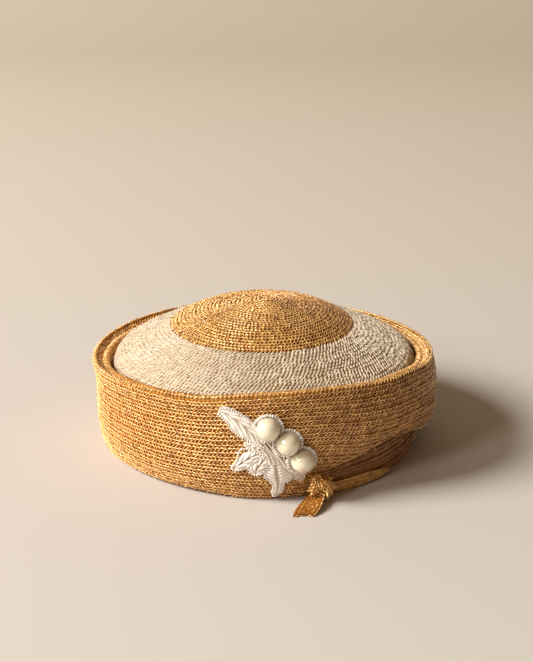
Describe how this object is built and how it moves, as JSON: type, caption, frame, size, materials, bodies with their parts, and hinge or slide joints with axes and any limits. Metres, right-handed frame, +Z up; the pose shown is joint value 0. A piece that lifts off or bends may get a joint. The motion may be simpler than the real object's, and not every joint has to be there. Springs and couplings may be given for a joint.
{
  "type": "straw pillbox hat",
  "caption": "Domed crocheted straw hat with a tall turned-up double cuff, a lace spray set with half-round pearls and a knotted straw tie.",
  "frame": {"origin": "middle of the hat's box at its base, on the surface it rests on", "axes": "+Z up out of the crown; -Y towards the front with the lace spray; +X towards the side with the tuck"},
  "size_m": [0.2034, 0.2238, 0.0865],
  "materials": {
    "gold_straw": "glossy crocheted straw, warm gold",
    "cream_straw": "crocheted straw, pale cream",
    "lace": "matte embroidery thread, off-white",
    "pearl": "pearlescent ivory",
    "tie_straw": "glossy plaited straw, warm gold"
  },
  "bodies": {
    "root": {"crown_tip": "gold_straw", "crown_ring": "cream_straw", "side_band": "gold_straw", "cuff": "gold_straw", "cuff_facing": "gold_straw", "lace_spray": "lace", "pearl_1": "pearl", "pearl_2": "pearl", "pearl_3": "pearl", "tie_knot": "tie_straw", "tie_tail": "tie_straw", "tie_band": "tie_straw"}
  },
  "joints": []
}
